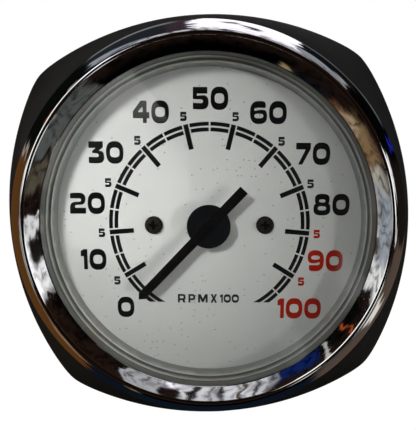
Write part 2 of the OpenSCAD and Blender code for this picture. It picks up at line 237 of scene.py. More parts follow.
def plain(name, **sockets):
    """Material with a Principled shader. Gives the material, its tree and shader, and Object coordinates."""
    material = bpy.data.materials.new(name)
    material.use_nodes = True
    tree = material.node_tree
    shader = tree.nodes["Principled BSDF"]
    for key, value in sockets.items():
        shader.inputs[key.replace("_", " ")].default_value = value
    return material, tree, shader, add(tree, "TexCoord", (), "Object")


def clouded(name, size, detail, colours=(), roughness=(), grain=(), coarse=0.5, **sockets):
    """Material whose colour and roughness drift in clouds of a size in millimetres, both given as stops.
    Grain is a size in millimetres (0 for the clouds themselves), a detail, a depth in millimetres and a
    strength. Gives what plain gives, then the clouds and the colour."""
    material, tree, shader, place = plain(name, **sockets)
    look = {"Vector": place, "Scale": 1000 / size, "Detail": detail, "Roughness": coarse}
    cloud = add(tree, "TexNoise", look, "Fac")
    colour = None
    if colours:
        colour = add(tree, "ValToRGB", [cloud], 0, [(at, shade(value)) for at, value in colours])
        tree.links.new(colour, shader.inputs["Base Color"])
    if roughness:
        dull = add(tree, "ValToRGB", [cloud], 0, [(at, grey(value)) for at, value in roughness])
        tree.links.new(dull, shader.inputs["Roughness"])
    if grain:
        grain_size, grain_detail, depth, strength = grain
        height = cloud
        if grain_size:
            look = {"Vector": place, "Scale": 1000 / grain_size, "Detail": grain_detail}
            height = add(tree, "TexNoise", look, "Fac")
        look = {"Height": height, "Distance": depth * MM, "Strength": strength}
        relief = add(tree, "Bump", look, "Normal")
        tree.links.new(relief, shader.inputs["Normal"])
    return material, tree, shader, place, cloud, colour


def around_axis(tree, place):
    """Distance from the dial's axis in millimetres, and a place that runs along a ring, across it and in
    depth."""
    parts = add(tree, "SeparateXYZ", [place])
    x, y, z = (parts.outputs[key] for key in ("X", "Y", "Z"))
    across = add(tree, "CombineXYZ", {"X": x, "Z": z}, 0)
    length = add(tree, "VectorMath", [across], "Value", operation="LENGTH")
    r = add(tree, "Math", [length, 1000], 0, operation="MULTIPLY")
    turn = add(tree, "Math", [z, x], 0, operation="ARCTAN2")
    turn = add(tree, "Math", [turn, 5], 0, operation="MULTIPLY")
    depth = add(tree, "Math", [y, 1000], 0, operation="MULTIPLY")
    return r, add(tree, "CombineXYZ", [turn, r, depth], 0)


def forward_of(tree, place, level):
    """1 in front of a level, in millimetres from the dial's face, and 0 behind it."""
    depth = add(tree, "SeparateXYZ", [place], "Y")
    front = add(tree, "Math", [depth, -1000], 0, operation="MULTIPLY")
    return add(tree, "Math", [front, level - DIAL_Y], 0, operation="GREATER_THAN")


# Radius of the corner between chrome and glass
GLASS_CORNER = 37


def polished_chrome():
    """Bright chrome plate on spun steel: a mirror with polishing lines round it, wiping scratches, small
    pits, and a dark, dull inner wall in the corner at the glass."""
    material, tree, shader, place = plain("polished chrome plate", Metallic=1.0)
    r, along = around_axis(tree, place)
    # Inside a radius just past the glass corner the chrome turns dark brown and dull
    from_glass = add(tree, "Math", [r, GLASS_CORNER], 0, operation="SUBTRACT")
    corner = add(tree, "ValToRGB", [from_glass], 0, [(0.105, grey(1)), (0.12, grey(0))])
    colour = add(tree, "Mix", {0: corner, 6: shade("#dcdcde"), 7: shade("#1a1713")}, 2, data_type="RGBA")
    tree.links.new(colour, shader.inputs["Base Color"])
    stretched = add(tree, "Mapping", {"Vector": place, "Scale": (1, 1, 0.12), "Rotation": (0, 0.7, 0)}, 0)
    look = {"Vector": stretched, "Scale": 1000 / 0.35, "Detail": 4, "Roughness": 0.7}
    lines = add(tree, "TexNoise", look, "Fac")
    lines = add(tree, "ValToRGB", [lines], 0, [(0.60, grey(0)), (0.72, grey(1))])
    haze = add(tree, "TexNoise", {"Vector": place, "Scale": 1000 / 7, "Detail": 3}, "Fac")
    haze = add(tree, "ValToRGB", [haze], 0, [(0.35, grey(0.02)), (0.75, grey(0.07))])
    rough = add(tree, "Mix", {0: lines, 6: haze, 7: grey(0.2)}, 2, data_type="RGBA")
    dull = add(tree, "Mix", {0: corner, 6: rough, 7: grey(0.6)}, 2, data_type="RGBA")
    tree.links.new(dull, shader.inputs["Roughness"])
    rings = add(tree, "TexNoise", {"Vector": along, "Scale": 3.0, "Detail": 3.0}, "Fac")
    pits = add(tree, "TexVoronoi", {"Vector": place, "Scale": 1000 / 1.3}, "Distance")
    pits = add(tree, "ValToRGB", [pits], 0, [(0.05, grey(0)), (0.09, grey(1))])
    waves = add(tree, "TexNoise", {"Vector": place, "Scale": 1000 / 5, "Detail": 2}, "Fac")
    height = add(tree, "Math", [pits, 0.25, waves], 0, operation="MULTIPLY_ADD")
    height = add(tree, "Math", [rings, 0.12, height], 0, operation="MULTIPLY_ADD")
    relief = add(tree, "Bump", {"Height": height, "Distance": 0.012 * MM, "Strength": 0.3}, "Normal")
    tree.links.new(relief, shader.inputs["Normal"])
    return material


def lit_through(material, tree, shader, share):
    """Lets a share of the lamps' light straight through a glass to what is behind it."""
    shadow = add(tree, "LightPath", (), "Is Shadow Ray")
    clear = add(tree, "BsdfTransparent", [grey(share)], 0)
    both = add(tree, "MixShader", [shadow, shader.outputs[0], clear], 0)
    tree.links.new(both, tree.nodes["Material Output"].inputs["Surface"])
    return material


def lens_glass():
    """Flat float glass: clear, faintly green, with a film of dust."""
    material, tree, shader, *_ = clouded(
        "float glass", 1.2, 3, (), [(0.55, 0.0), (0.85, 0.05)], IOR=1.5, Transmission_Weight=1.0,
        Base_Color=shade("#fafbfa"))
    return lit_through(material, tree, shader, 0.95)


def bulb_glass():
    """Thin blown glass of the lamp, faintly smoked."""
    material, tree, shader, *_ = clouded(
        "blown glass", 4, 2, [(0.4, "#f2f4f2"), (0.8, "#d6d8d4")], IOR=1.5, Transmission_Weight=1.0,
        Roughness=0.02)
    return lit_through(material, tree, shader, 0.9)


# Radius at which the inner ring's bands of painted highlight and painted shade start
RING_WALL = 36.05


def frosted_ring():
    """Moulded translucent polystyrene: grey-green, satin, with fine turning lines. Its two beads carry a
    painted highlight, the groove between them and the band under the bezel's lip carry painted shade, and a
    streaky painted glint runs round the ring."""
    material, tree, shader, place, *_ = clouded(
        "translucent polystyrene", 5, 3, (), [(0.3, 0.3), (0.7, 0.4)], (0.8, 2, 0.02, 0.3), IOR=1.55,
        Subsurface_Weight=0.15, Subsurface_Scale=0.002)
    r, along = around_axis(tree, place)
    from_wall = add(tree, "Math", [r, RING_WALL], 0, operation="SUBTRACT")
    wander = add(tree, "TexNoise", {"Vector": place, "Scale": 1000 / 2.5, "Detail": 3}, "Fac")
    wavy = add(tree, "Math", [wander, 0.1, from_wall], 0, operation="MULTIPLY_ADD")
    wavy = add(tree, "Math", [wavy, 2], 0, operation="DIVIDE")
    # Bands by radius: the two beads light as a painted highlight, the groove and the outer band dark as
    # painted shade
    zones = [(0.07, "#a3a6a1"), (0.1, "#dcdeda"), (0.2, "#d6d8d2"), (0.24, "#73746f"), (0.42, "#777873"),
             (0.47, "#cfd1cb"), (0.57, "#c4c6c0"), (0.61, "#868883"), (0.8, "#767873")]
    zones = add(tree, "ValToRGB", [wavy], 0, [(at, shade(value)) for at, value in zones])
    # Streaky painted glint along the ring, multiplied into the painted bands
    look = {"Vector": along, "Scale": 1000 / 1.4, "Detail": 4, "Roughness": 0.7}
    sparkle = add(tree, "TexNoise", look, "Fac")
    sparkle = add(tree, "ValToRGB", [sparkle], 0, [(0.35, grey(0.75)), (0.7, grey(1.15))])
    lit_and_shaded_ring = {0: 1.0, 6: zones, 7: sparkle}
    lit_and_shaded_ring = add(tree, "Mix", lit_and_shaded_ring, 2, data_type="RGBA", blend_type="MULTIPLY")
    tree.links.new(lit_and_shaded_ring, shader.inputs["Base Color"])
    return material


def dial_lacquer():
    """Silver-white lacquer sprayed on the dial plate: satin, a little uneven, with specks of dust."""
    material, tree, shader, place, _, paint = clouded(
        "silver-white lacquer", 24, 3, [(0.3, "#cecfcb"), (0.7, "#d7d8d4")], [(0.3, 0.42), (0.7, 0.5)],
        (0.5, 2, 0.006, 0.3), IOR=1.5)
    parts = add(tree, "SeparateXYZ", [place])
    flat = add(tree, "CombineXYZ", [parts.outputs["X"], parts.outputs["Z"]], 0)
    speck = add(tree, "TexVoronoi", {"Vector": flat, "Scale": 1000 / 1.7}, voronoi_dimensions="2D")
    patchy = add(tree, "TexNoise", {"Vector": place, "Scale": 1000 / 16, "Detail": 2}, "Fac")
    patchy = add(tree, "Math", [patchy, -1.3, 1.42], 0, operation="MULTIPLY_ADD")
    chance = add(tree, "Math", [speck.outputs["Color"], patchy], 0, operation="GREATER_THAN")
    near = add(tree, "Math", [speck.outputs["Distance"], 0.085], 0, operation="LESS_THAN")
    seen = add(tree, "Math", [chance, near], 0, operation="MULTIPLY")
    faint = add(tree, "Math", [seen, 0.7], 0, operation="MULTIPLY")
    dirt = add(tree, "Mix", {0: faint, 6: paint, 7: shade("#3a3833")}, 2, data_type="RGBA")
    tree.links.new(dirt, shader.inputs["Base Color"])
    return material


# Levels from the dial's face: below the first a screw is painted near black, as shade in its cross recess;
# above the second is the pointer's arm
RECESS_TOP = 1
ARM_ROOT = 4.45


def blackened_steel():
    """Oxide-blacked steel: a satin olive-black film, worn lighter in spots, painted near black below a level
    as shade in the recesses.
    """
    material, tree, shader, place, _, film = clouded(
        "blackened steel", 0.8, 4, [(0.35, "#1c1b15"), (0.75, "#33312a")], [(0.3, 0.4), (0.7, 0.55)],
        (0, 0, 0.02, 0.4), Metallic=0.3, IOR=1.5)
    head = forward_of(tree, place, RECESS_TOP)
    # Below a level just under the head's top the colour is near black: painted shade for the cross recess
    recess_painted_shade = add(tree, "Mix", {0: head, 6: shade("#060605"), 7: film}, 2, data_type="RGBA")
    tree.links.new(recess_painted_shade, shader.inputs["Base Color"])
    return material


def pointer_plastic():
    """Moulded acetal: satin, the disc a bluish black and the arm a brownish one, with specks of dust."""
    material, tree, shader, place, cloud, bluish = clouded(
        "black acetal", 3, 3, [(0.3, "#07090a"), (0.7, "#0d1012")], [(0.3, 0.3), (0.7, 0.42)],
        (0.3, 2, 0.004, 0.3), IOR=1.48)
    brownish = add(tree, "ValToRGB", [cloud], 0, [(0.3, shade("#050505")), (0.7, shade("#0b0a09"))])
    arm = forward_of(tree, place, ARM_ROOT)
    black = add(tree, "Mix", {0: arm, 6: bluish, 7: brownish}, 2, data_type="RGBA")
    speck = add(tree, "TexVoronoi", {"Vector": place, "Scale": 1000 / 0.9}, "Distance")
    near = add(tree, "ValToRGB", [speck], 0, [(0.07, grey(0.5)), (0.11, grey(0))])
    dusty = add(tree, "Mix", {0: near, 6: black, 7: shade("#6b7078")}, 2, data_type="RGBA")
    tree.links.new(dusty, shader.inputs["Base Color"])
    return material


def worked_metal(name, dark, light, rough, grain):
    """Machined or cast metal, clouded by handling, with tool marks of a given size in millimetres."""
    return clouded(name, 3, 4, [(0.3, dark), (0.7, light)], [(0.3, rough - 0.06), (0.7, rough + 0.08)],
                   (grain, 3, 0.01, 0.5), Metallic=1.0)[0]


def soft_stuff(name, dark, light, strand, depth):
    """Felt or fibre: matt, mottled, its strands felt in the relief."""
    return clouded(name, strand, 5, [(0.3, dark), (0.7, light)], (), (0, 0, depth, 0.8), 0.7, IOR=1.5,
                   Roughness=0.85)[0]


def screen_ink(name, dark, light):
    """Screen-printed ink: satin, flat, a little uneven in its cover."""
    return clouded(name, 1.5, 3, [(0.3, dark), (0.7, light)], [(0.3, 0.4), (0.7, 0.5)], IOR=1.5)[0]


MATERIALS = {
    # ABS moulded in a lightly etched tool: a dull, slightly warm black with a fine grain
    "moulded_black": clouded("moulded black ABS", 9, 4, [(0.35, "#090907"), (0.7, "#100f0c")],
                             [(0.3, 0.5), (0.7, 0.65)], (0.35, 2, 0.02, 0.5), IOR=1.53)[0],
    # Moulded nitrile rubber: matt black, a little dusty
    "rubber_black": clouded("black nitrile rubber", 3, 4, [(0.4, "#0e0e0e"), (0.75, "#1b1b19")],
                            [(0.4, 0.7), (0.7, 0.85)], (0, 0, 0.02, 0.4), IOR=1.52)[0],
    # Steel with a thin bright zinc plate: softly clouded
    "zinc_steel": clouded("bright zinc plate", 4, 4, [(0.3, "#a9aca8"), (0.7, "#c3c5c1")],
                          [(0.3, 0.28), (0.7, 0.42)], (0.5, 3, 0.01, 0.4), Metallic=1.0)[0],
    "bezel_chrome": polished_chrome(),
    "lens_glass": lens_glass(),
    "ring_translucent": frosted_ring(),
    "dial_paint": dial_lacquer(),
    "black_screw": blackened_steel(),
    "pointer_black": pointer_plastic(),
    "brass": worked_metal("turned brass", "#b4934a", "#cfb269", 0.3, 0.4),
    "bright_steel": worked_metal("turned bright steel", "#b3b5b7", "#cdcfd1", 0.22, 0.3),
    "spring_bronze": worked_metal("rolled bronze strip", "#6a5436", "#8c7350", 0.3, 0.2),
    "sheet_aluminium": worked_metal("drawn aluminium", "#c3c6c8", "#d8dadb", 0.35, 0.5),
    "die_cast": worked_metal("die-cast zinc alloy", "#8f9191", "#a9abaa", 0.5, 0.6),
    "magnet_alloy": worked_metal("ground magnet alloy", "#4a4b4e", "#626367", 0.4, 0.4),
    "sintered_bronze": worked_metal("sintered bronze", "#8a6232", "#a87d48", 0.5, 0.25),
    # Synthetic ruby: deep red, polished
    "red_jewel": clouded("synthetic ruby", 0.8, 2, [(0.3, "#6d1026"), (0.7, "#9a1d3a")], IOR=1.76,
                         Roughness=0.08)[0],
    "wool_felt": soft_stuff("oiled wool felt", "#a8966f", "#d0c19a", 0.25, 0.15),
    "fibre": soft_stuff("pressed fibre", "#4b2f1b", "#6d482c", 0.4, 0.03),
    "bulb_glass": bulb_glass(),
}
INK_BLACK = screen_ink("black screen ink", "#030404", "#090a0a")
INK_RED = screen_ink("red screen ink", "#a41b05", "#b52409")

CASE = "case"


def stand_for(piece, slot, body, *nodes, angle=32, material=None):
    """Piece takes its finish, rides on its body and stands for its CAD nodes."""
    piece.data.materials.clear()
    piece.data.materials.append(material or MATERIALS[slot])
    smooth(piece, angle)
    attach(piece, body)
    if nodes:
        piece.name = nodes[0] + "_detailed"
        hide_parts(*nodes)


# Housing: four bowed sides drawn in towards the rear, corners hardly rounded, rear edge rounded
POD_HALF = 46.2
POD_SIDE_R = 66.5
POD_CORNER = 50.3
POD_TURN = 3.4
POD_RIM = 3
POD_WALL = 2.4
DRAFT = math.tan(math.radians(2.5))
BACK = -48
STUD_AT = 24
LAMP_AT = 25
BASE_SCREWS_AT = [at_angle(11, math.radians(a)) for a in (90, 210, 330)]
CORNER_BACK = POD_CORNER - 1.2 * (POD_RIM - BACK) * DRAFT
REAR_ROUND = 9
CORNER_SOFT = 0.28


def outline(angle, z, inset):
    """Distance from the axis to the housing's surface at an angle and level."""
    half = POD_HALF - (POD_RIM - z) * DRAFT - inset
    side_r = POD_SIDE_R - inset
    offset = side_r - half
    near = (angle - math.radians(POD_TURN) + math.pi / 4) % (math.pi / 2) - math.pi / 4
    side = -offset * math.cos(near) + math.sqrt(side_r ** 2 - (offset * math.sin(near)) ** 2)
    trim = CORNER_BACK + (POD_CORNER - CORNER_BACK) * (z - BACK) / (POD_RIM - BACK) - inset
    rear = z - BACK - REAR_ROUND
    if rear < 0:
        r = REAR_ROUND - inset
        trim = CORNER_BACK - REAR_ROUND + math.sqrt(max(0, r * r - rear * rear))
    nearer = sum(math.exp(-(r - 40) / CORNER_SOFT) for r in (side, trim))
    return 40 - CORNER_SOFT * math.log(nearer)


def shaped_housing():
    """Rings of the housing, each vertex then set out to the outline of its level."""
    rear_levels = [BACK + REAR_ROUND * (1 - math.cos(math.radians(a))) for a in range(10, 91, 8)]
    outer = [BACK] + rear_levels + [-34, -26, -18, -10, -4, 0, 1.6, 2.4, 2.8]
    inner = [-POD_WALL, -12, -24, -36, -40, -43, BACK + 3.2]
    section = [("outline", z, 0.0) for z in outer]
    section += [("outline", POD_RIM, 0.25), ("circle", POD_RIM, 44.6), ("circle", POD_RIM - 0.3, 44.3),
                ("circle", 0, 44.3), ("circle", 0, 40.4), ("circle", -POD_WALL, 40.4)]
    section += [("outline", z, POD_WALL) for z in inner]
    piece = turned("pod", [(40 - 0.001 * i, -i) for i in range(len(section))], 360)
    return section, piece


def pod():
    section, piece = shaped_housing()
    for vertex in piece.data.vertices:
        level = round(DIAL_Y - vertex.co.y / MM)
        kind, z, value = section[-level]
        angle = math.atan2(vertex.co.z, vertex.co.x)
        r = value if kind == "circle" else outline(angle, z, value)
        vertex.co = spot(*at_angle(r, angle), z)
    close_up(piece)
    holes = [("nipple", (0, 0), 8.2, 4), ("lamp", (0, LAMP_AT), 7.3, 4)]
    holes += [("stud", (side * STUD_AT, 0), 2.8, 4) for side in (-1, 1)]
    holes += [("seat", (side * STUD_AT, 0), 5.3, 1.5) for side in (-1, 1)]
    holes += [("access", at, 3, 4) for at in BASE_SCREWS_AT]
    for name, at, r, depth in holes:
        cut(piece, turned(name, [(r, BACK - 1), (r, BACK + depth)], 64, at))
    round_edges(piece, 0.25, 2, 50)
    stand_for(piece, "moulded_black", CASE, "pod", angle=40)


LENS_BACK = 5.6
LENS_FRONT = 7.2


# Bezel: rolled skirt, round back up to a narrow crest, then a slope down to the glass
def bezel():
    skirt = [(41, 0.8)] + arc(43.5, 1.5, 0.7, -90, 0, 6)
    back = arc(39.2, 4.55, 5.0, 0, 74, 40)
    crest = arc(40.26, 8.25, 1.15, 75, 123.5, 20)
    slope = arc(55.44, -14.25, 28.3, 124, 130, 10)
    lip = [(37.16, 7.41), (37.1, 7.33), (37.1, LENS_FRONT), (37.9, LENS_FRONT), (38.6, 7.6)]
    inside = arc(39.2, 4.55, 4.2, 84, 0, 16) + [(43.4, 1.6), (41, 1.6), (41, 0.8)]
    piece = turned("bezel", skirt + back + crest + slope + lip + inside, 256)
    stand_for(piece, "bezel_chrome", CASE, "bezel", angle=24)


def lens():
    piece = turned("lens", [(40.6, LENS_BACK), (40.6, LENS_FRONT - 0.2), (40.4, LENS_FRONT)], 192)
    stand_for(piece, "lens_glass", CASE, "lens")


def inner_ring():
    inner_bead = arc(36.33, 2.9, 0.16, 180, 10, 8)
    outer_bead = arc(37.08, 3.9, 0.14, 165, 15, 6)
    section = [(36.1, 0), (36.17, 2.8)] + inner_bead + [(36.6, 2.7), (36.8, 2.75)] + outer_bead
    section += [(37.3, 3.9), (37.7, LENS_BACK), (38.9, LENS_BACK), (38.9, 0), (36.1, 0)]
    piece = turned("inner_ring", section, 256)
    stand_for(piece, "ring_translucent", CASE, "inner_ring", angle=20)


SCREW_AT = 13.2


def dial_plate():
    section = [(3, -0.8), (37.7, -0.8), (37.8, -0.7), (37.8, -0.1), (37.7, 0), (3, 0), (3, -0.8)]
    piece = turned("dial_plate", section, 192)
    for side in (-1, 1):
        cut(piece, turned("screw_hole", [(1.1, -2), (1.1, 1)], 48, (side * SCREW_AT, 0)))
    stand_for(piece, "dial_paint", CASE, "dial_plate")


# Printed scale. Its numbers run clockwise, 2.7 degrees to a unit, from 0 at the lower left to 100.
PRINT_TURN = math.radians(-0.36)
BAND_OUT = 23.9
BAND_T = 0.88
BAND_GAP = 0.4
TICK_IN = 18.1
TICK_W = 1.12
TICK_CLEAR = 0.32
MARK_GAP = 0.38
SCALE_FOOT = -18.93
ZERO_W = 4.06
ZERO_H = 5.15


def oval(cx, cy, w, h, power, steps=40):
    points = []
    for i in range(steps):
        t = 2 * math.pi * i / steps
        c, s = math.cos(t), math.sin(t)
        points.append((cx + w / 2 * math.copysign(abs(c) ** (2 / power), c),
                       cy + h / 2 * math.copysign(abs(s) ** (2 / power), s)))
    return points


def rounded(corners, steps=5):
    """Outline through corners (x, y, radius), each softened towards its neighbours."""
    points = []
    count = len(corners)
    for i, (x, y, r) in enumerate(corners):
        here = Vector((x, y))
        before = Vector(corners[i - 1][:2]) - here
        after = Vector(corners[(i + 1) % count][:2]) - here
        start = here + before.normalized() * min(r, before.length * 0.5)
        end = here + after.normalized() * min(r, after.length * 0.5)
        for k in range(steps + 1):
            t = k / steps
            p = start * (1 - t) ** 2 + here * 2 * t * (1 - t) + end * t * t
            points.append((p.x, p.y))
    return points


# Numerals, drawn on a grid with y downwards, corners as (x, y, rounding); the nought fills the whole grid
FIGURE_W = 17.8
FIGURE_H = 23.3
S = 0.5
FIGURES = {
    "0": (FIGURE_W, [oval(8.9, 11.65, FIGURE_W, FIGURE_H, 2.5), oval(8.9, 11.65, 9.7, 10.0, 2.7)]),
    "1": (7.0, [rounded([(3.0, 0.4, S), (7.0, 0.4, S), (7.0, 22.9, S), (3.1, 22.9, S), (3.1, 8.0, S),
                         (0, 8.6, S), (0, 2.6, S)])]),
    "2": (16.6, [rounded([(0.5, 0.9, 2), (16.5, 0.2, 9), (16.5, 13.2, 7), (5.3, 13.6, 2.2), (5.3, 16.6, S),
                          (16.5, 16.6, S), (16.5, 22.9, S), (0, 22.9, S), (0, 10.6, 6), (11.8, 9.9, 2),
                          (11.8, 6.6, 2), (0.5, 6.6, S)])]),
    "3": (15.8, [rounded([(0.1, 0.2, S), (14.8, 0.2, S), (14.8, 6.4, 1), (10.4, 9.8, 1), (15.8, 10.8, 6),
                          (15.8, 23.2, 9), (0, 22.8, 1.2), (0, 16.4, S), (10.2, 16.6, 2.2),
                          (10.2, 13.0, 2.2), (3.6, 12.2, S), (3.6, 10.2, 1), (7.4, 7.0, S),
                          (0.1, 7.0, S)])]),
    "4": (16.6, [rounded([(8.0, 0.4, S), (13.9, 0.4, S), (13.9, 11.9, S), (16.6, 11.9, S), (16.6, 18.1, S),
                          (13.9, 18.1, S), (13.9, 22.9, S), (10.0, 22.9, S), (10.0, 18.1, S), (0, 18.1, S),
                          (0, 11.2, S)]),
                 rounded([(5.0, 11.9, S), (9.9, 11.9, S), (9.9, 7.2, 1), (8.6, 7.2, 1)])]),
    "5": (15.8, [rounded([(0, 0.4, S), (14.6, 0.4, S), (14.6, 7.0, S), (4.1, 7.0, S), (4.1, 9.2, S),
                          (15.8, 8.2, 8.5), (15.8, 23.2, 9), (0, 22.7, 1.2), (0, 16.2, S), (10.2, 16.6, 2.2),
                          (10.2, 12.9, 2.2), (0, 12.6, S)])]),
    "6": (17.2, [rounded([(0, 0.1, 11), (15.6, 0.1, 4), (15.6, 6.9, S), (4.3, 6.7, 4), (4.3, 10.2, 1.5),
                          (9.0, 8.9, 2), (17.2, 8.9, 7.5), (17.2, 23.3, 9), (0, 23.3, 11)]),
                 oval(8.9, 15.1, 8.9, 4.6, 2.8)]),
    "7": (15.0, [rounded([(0, 0.4, S), (14.9, 0.4, S), (14.9, 6.6, 1), (6.6, 22.9, S), (2.3, 22.9, S),
                          (9.6, 7.3, S), (0, 7.3, S)])]),
    "8": (17.4, [rounded([(1.2, 0.1, 8.5), (16.2, 0.1, 8.5), (16.2, 9.4, 4), (15.0, 10.4, 1),
                          (17.4, 12.0, 4.5), (17.4, 23.3, 9.5), (0, 23.3, 9.5), (0, 12.0, 4.5),
                          (2.4, 10.4, 1), (1.2, 9.4, 4)]),
                 oval(8.7, 7.7, 6.6, 3.3, 2.6), oval(8.7, 15.6, 8.7, 4.4, 2.8)]),
}
FIGURES["9"] = (17.2, [[(17.2 - x, FIGURE_H - y) for x, y in loop] for loop in FIGURES["6"][1]])
FIGURE_GAP = 2.0

# Letters of the unit, 2.13 mm high
LETTERS = {
    "R": [rounded([(0, 0, 0.08), (0, 2.13, 0.08), (1.86, 2.13, 0.8), (1.86, 0.72, 0.6), (1.55, 0.66, 0.1),
                   (1.9, 0, 0.08), (1.34, 0, 0.08), (1.06, 0.6, 0.1), (0.47, 0.6, 0.05), (0.47, 0, 0.08)]),
          rounded([(0.47, 1.06, 0.05), (1.38, 1.06, 0.3), (1.38, 1.66, 0.3), (0.47, 1.66, 0.05)])],
    "P": [rounded([(0, 0, 0.08), (0, 2.13, 0.08), (1.69, 2.13, 0.8), (1.69, 0.6, 0.8), (0.47, 0.6, 0.05),
                   (0.47, 0, 0.08)]),
          rounded([(0.47, 1.06, 0.05), (1.2, 1.06, 0.3), (1.2, 1.66, 0.3), (0.47, 1.66, 0.05)])],
    "M": [rounded([(0, 0, 0.08), (0, 2.13, 0.1), (0.62, 2.13, 0.1), (1.17, 0.95, 0.05), (1.72, 2.13, 0.1),
                   (2.34, 2.13, 0.1), (2.34, 0, 0.08), (1.87, 0, 0.08), (1.87, 1.2, 0.05), (1.36, 0.1, 0.08),
                   (0.98, 0.1, 0.08), (0.47, 1.2, 0.05), (0.47, 0, 0.08)])],
    "X": [rounded([(0, 0, 0.08), (0.5, 1.07, 0.08), (0, 2.13, 0.08), (0.54, 2.13, 0.08), (0.79, 1.5, 0.05),
                   (1.04, 2.13, 0.08), (1.58, 2.13, 0.08), (1.08, 1.07, 0.08), (1.58, 0, 0.08),
                   (1.04, 0, 0.08), (0.79, 0.64, 0.05), (0.54, 0, 0.08)])],
}


def number(text, x, y, height, stretch=1.0):
    """Loops of a number centred on a point, height being that of its zero."""
    k = height / FIGURE_H
    kx = k * ZERO_W / ZERO_H * FIGURE_H / FIGURE_W * stretch
    width = sum(FIGURES[c][0] for c in text) + FIGURE_GAP * (len(text) - 1)
    pen = -width / 2
    top = FIGURE_H / 2
    loops = []
    for c in text:
        advance, shapes = FIGURES[c]
        loops += [[(x + (pen + px) * kx, y + (top - py) * k) for px, py in shape] for shape in shapes]
        pen += advance + FIGURE_GAP
    return loops


def mark_angle(value):
    return math.radians(225 - 2.7 * value)


def scale_bands():
    """Double arc in pieces between the marks, cut level at its two lower ends."""
    loops = []
    for outer in (BAND_OUT, BAND_OUT - BAND_T - BAND_GAP):
        inner = outer - BAND_T
        middle = (outer + inner) / 2
        for value in range(-5, 105, 5):
            first, last = value, value + 5
            gaps = [TICK_W / 2 + TICK_CLEAR if v % 10 else MARK_GAP / 2 for v in (first, last)]
            start = mark_angle(first) - gaps[0] / middle
            end = mark_angle(last) + gaps[1] / middle
            loop = []
            for r, direction in ((outer, 1), (inner, -1)):
                a, b = start, end
                foot = math.asin(-SCALE_FOOT / r)
                if first < 0:
                    a = math.pi + foot
                if last > 100:
                    b = -foot
                turns = [a + (b - a) * i / 10 for i in range(11)][::direction]
                loop += [at_angle(r, t) for t in turns]
            loops.append(loop)
    return loops


def scale_ticks():
    loops = []
    for value in range(5, 100, 10):
        t = mark_angle(value)
        along = Vector((math.cos(t), math.sin(t)))
        side = Vector((-along.y, along.x)) * TICK_W / 2
        loops.append([tuple(p) for p in (along * TICK_IN - side, along * BAND_OUT - side,
                                         along * BAND_OUT + side, along * TICK_IN + side)])
    return loops


# Places of the left-hand numbers; the right-hand ones mirror them
NUMBER_AT = {0: (-20.4, -20.3), 10: (-27.9, -8.5), 20: (-28.9, 5.0), 30: (-24.1, 16.8), 40: (-13.5, 26.0),
             50: (0.2, 29.1)}
FIVE_R = 25.75


def printed_number(value):
    x, y = NUMBER_AT[min(value, 100 - value)]
    if value > 50:
        x = -x
    if value == 100:
        x, y = 22.0, -20.4
    return number(str(value), x, y, ZERO_H)


def printed_five(value):
    r = FIVE_R + (0.4 if value in (5, 95) else 0)
    x, y = at_angle(r, mark_angle(value))
    return number("5", x, y, 2.12)


def unit_words():
    """The generic unit under the pointer."""
    loops = []
    for letter, x in (("R", -7.67), ("P", -5.11), ("M", -2.75), ("X", 0.3)):
        loops += [[(x + px, -19.09 + py) for px, py in shape] for shape in LETTERS[letter]]
    return loops + number("100", 4.92, -18.02, 2.13, 1.05)


def printed(name, loops, material):
    """Ink film: flat filled outlines given a thickness and laid on the dial."""
    curve = bpy.data.curves.new(name, "CURVE")
    curve.dimensions = "2D"
    curve.fill_mode = "BOTH"
    curve.extrude = 0.012 * MM
    for loop in loops:
        spline = curve.splines.new("POLY")
        spline.points.add(len(loop) - 1)
        for point, (x, y) in zip(spline.points, loop):
            u = x * math.cos(PRINT_TURN) - y * math.sin(PRINT_TURN)
            v = x * math.sin(PRINT_TURN) + y * math.cos(PRINT_TURN)
            point.co = (u * MM, v * MM, 0, 1)
        spline.use_cyclic_u = True
    flat = bpy.data.objects.new(name, curve)
    bpy.context.scene.collection.objects.link(flat)
    deselect()
    flat.select_set(True)
    bpy.context.view_layer.objects.active = flat
    bpy.ops.object.convert(target="MESH")
    piece = bpy.context.object
    piece.location = spot(0, 0, 0.014)
    piece.rotation_euler = (math.pi / 2, 0, 0)
    settle(piece)
    stand_for(piece, "dial_paint", CASE, material=material)


def dial_print():
    black = scale_bands() + scale_ticks() + unit_words()
    red = []
    for value in range(0, 101, 10):
        (red if value > 80 else black).extend(printed_number(value))
    for value in range(5, 100, 10):
        (red if value > 80 else black).extend(printed_five(value))
    printed("dial_print_black", black, INK_BLACK)
    printed("dial_print_red", red, INK_RED)


def cross_screw(name, r, h, seat, shank, at=(0, 0), up=1, recess=0.7):
    """Pan head with a cross recess on a plain shank; up is -1 where the head faces the rear."""
    edge = 0.45 * h
    turns = [math.radians(a) for a in range(86, 0, -8)]
    dome = [(r * math.sin(t), edge + (h - edge) * math.cos(t)) for t in turns]
    section = [(shank[0], -shank[1]), (shank[0], 0), (r - 0.1, 0), (r, 0.1), (r, edge)] + dome + [(0.05, h)]
    piece = turned(name, [(pr, seat + up * pz) for pr, pz in section], 64, at)
    for size in ((r * 1.05, r * 0.3), (r * 0.3, r * 1.05)):
        slot = block("slot", (size[0], size[1], 2 * recess), (at[0], at[1], seat + up * h))
        cut(piece, slot)
    return piece


def dial_screws():
    first = cross_screw("dial_screws", 2.1, 1.4, 0, (0.95, 5), (-SCREW_AT, 0), recess=0.95)
    piece = join([first, copy_to(first, "right", 2 * SCREW_AT, 0)])
    stand_for(piece, "black_screw", CASE, "dial_screws")


